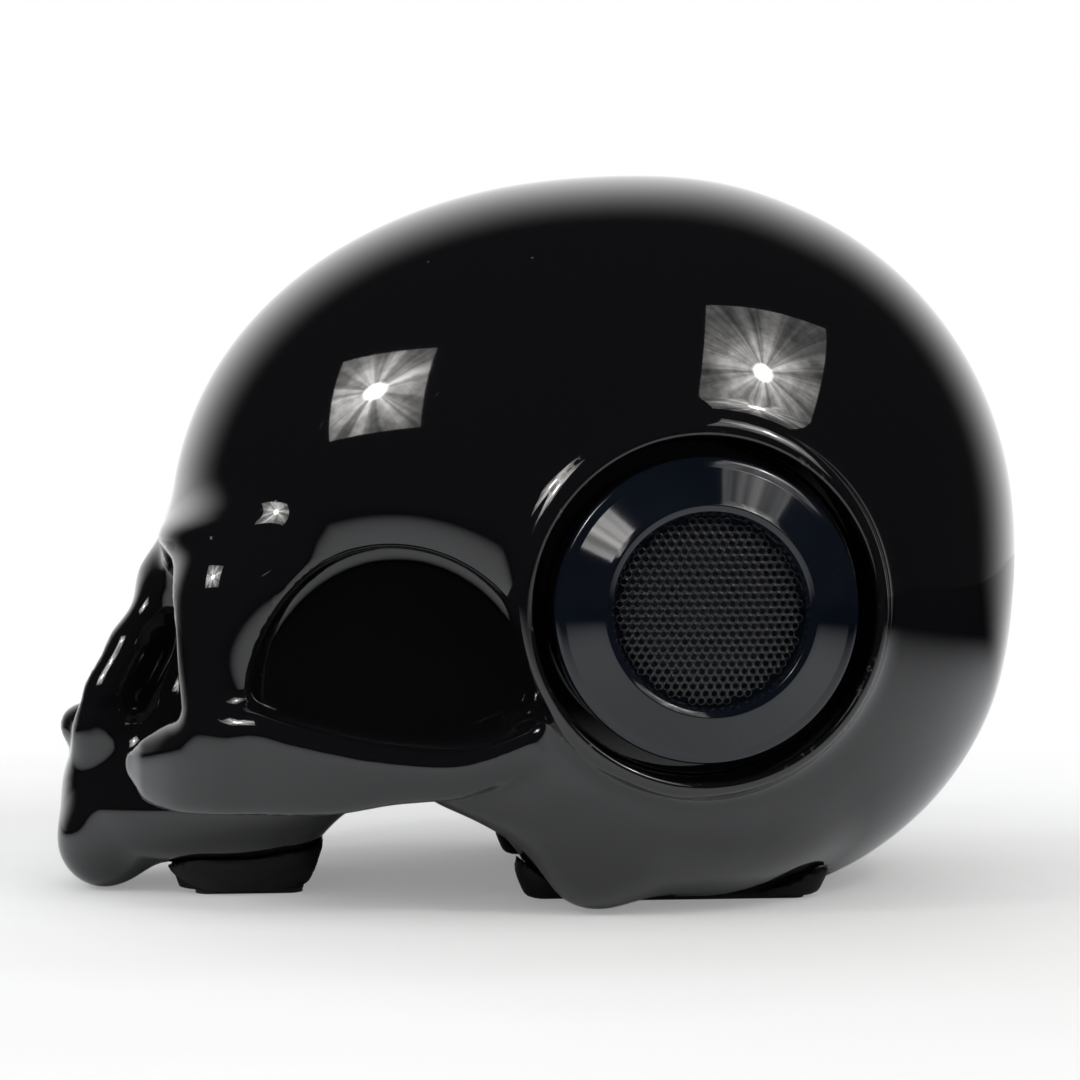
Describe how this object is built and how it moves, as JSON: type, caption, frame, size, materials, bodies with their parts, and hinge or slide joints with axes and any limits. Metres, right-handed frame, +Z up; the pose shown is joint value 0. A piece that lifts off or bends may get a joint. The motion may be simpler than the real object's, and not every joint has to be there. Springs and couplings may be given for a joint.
{
  "type": "skull-shaped tabletop loudspeaker",
  "caption": "Gloss black jawless skull housing that plays sound from round grilled modules in its temples and a down-firing woofer in its matte base.",
  "frame": {"origin": "on the table, under the middle of the whole object's bounding box", "axes": "+Z up, -Y the way the face looks, +X the skull's own left"},
  "size_m": [0.1988, 0.28, 0.205],
  "materials": {
    "skull_lacquer": "deep black piano lacquer",
    "bezel_gloss": "gloss black, moulded",
    "grille_steel": "semi-gloss black",
    "moulding": "fine matte texture",
    "screw_steel": "black oxide",
    "frame_steel": "satin black",
    "surround_rubber": "matte",
    "cone_paper": "coated paper",
    "cap_paper": "coated paper",
    "coil_copper": "enamelled winding",
    "spider_cloth": "resin-treated cloth",
    "magnet_steel": "zinc plated",
    "ferrite": "dark sintered",
    "foam": "closed-cell foam",
    "pad_rubber": "matte",
    "switch_plastic": "satin",
    "button_plastic": "satin",
    "nut_plated": "nickel plated",
    "board": "green solder mask",
    "heat_sink": "extruded",
    "capacitor": "sleeved can",
    "cable": "flexible sheath"
  },
  "bodies": {
    "enclosure": {"amplifier_board": "board", "aux_nut": "nut_plated", "aux_socket": "switch_plastic", "base_screws": "screw_steel", "cables": "cable", "capacitors": "capacitor", "chassis": "moulding", "dc_socket": "switch_plastic", "foot_pads": "pad_rubber", "heat_sink": "heat_sink", "io_board": "board", "left_basket": "frame_steel", "left_bezel": "bezel_gloss", "left_gasket": "foam", "left_grille": "grille_steel", "left_magnet": "ferrite", "left_module_cup": "moulding", "left_module_screws": "screw_steel", "left_spider": "spider_cloth", "left_surround": "surround_rubber", "left_top_plate": "magnet_steel", "left_yoke": "magnet_steel", "panel_screws": "screw_steel", "rear_panel": "moulding", "right_basket": "frame_steel", "right_bezel": "bezel_gloss", "right_gasket": "foam", "right_grille": "grille_steel", "right_magnet": "ferrite", "right_module_cup": "moulding", "right_module_screws": "screw_steel", "right_spider": "spider_cloth", "right_surround": "surround_rubber", "right_top_plate": "magnet_steel", "right_yoke": "magnet_steel", "rocker_frame": "switch_plastic", "seam_dowels": "magnet_steel", "skull_half_left": "skull_lacquer", "skull_half_right": "skull_lacquer", "woofer_basket": "frame_steel", "woofer_gasket": "foam", "woofer_grille": "grille_steel", "woofer_magnet": "ferrite", "woofer_screws": "screw_steel", "woofer_spider": "spider_cloth", "woofer_surround": "surround_rubber", "woofer_top_plate": "magnet_steel", "woofer_yoke": "magnet_steel"},
    "left_diaphragm": {"left_cone": "cone_paper", "left_dust_cap": "cap_paper", "left_voice_coil": "coil_copper"},
    "right_diaphragm": {"right_cone": "cone_paper", "right_dust_cap": "cap_paper", "right_voice_coil": "coil_copper"},
    "woofer_diaphragm": {"woofer_cone": "cone_paper", "woofer_dust_cap": "cap_paper", "woofer_voice_coil": "coil_copper"},
    "rocker": {"power_rocker": "switch_plastic"},
    "volume_up": {"volume_up_button": "button_plastic"},
    "volume_down": {"volume_down_button": "button_plastic"}
  },
  "joints": [
    {"name": "left_cone_slide", "type": "slide", "parent": "enclosure", "child": "left_diaphragm", "axis": [1, 0, 0], "range_m": [-0.002, 0.002], "deforming": ["left_surround", "left_spider"]},
    {"name": "right_cone_slide", "type": "slide", "parent": "enclosure", "child": "right_diaphragm", "axis": [-1, 0, 0], "range_m": [-0.002, 0.002], "deforming": ["right_surround", "right_spider"]},
    {"name": "woofer_cone_slide", "type": "slide", "parent": "enclosure", "child": "woofer_diaphragm", "axis": [0, 0, -1], "range_m": [-0.003, 0.003], "deforming": ["woofer_surround", "woofer_spider"]},
    {"name": "power_rocker_tilt", "type": "hinge", "parent": "enclosure", "child": "rocker", "pos_m": [-0.017, 0.1245, 0.07], "axis": [1, 0, 0], "range_deg": [0, 16]},
    {"name": "volume_up_press", "type": "slide", "parent": "enclosure", "child": "volume_up", "axis": [0, -1, 0], "range_m": [0, 0.0008]},
    {"name": "volume_down_press", "type": "slide", "parent": "enclosure", "child": "volume_down", "axis": [0, -1, 0], "range_m": [0, 0.0008]}
  ]
}
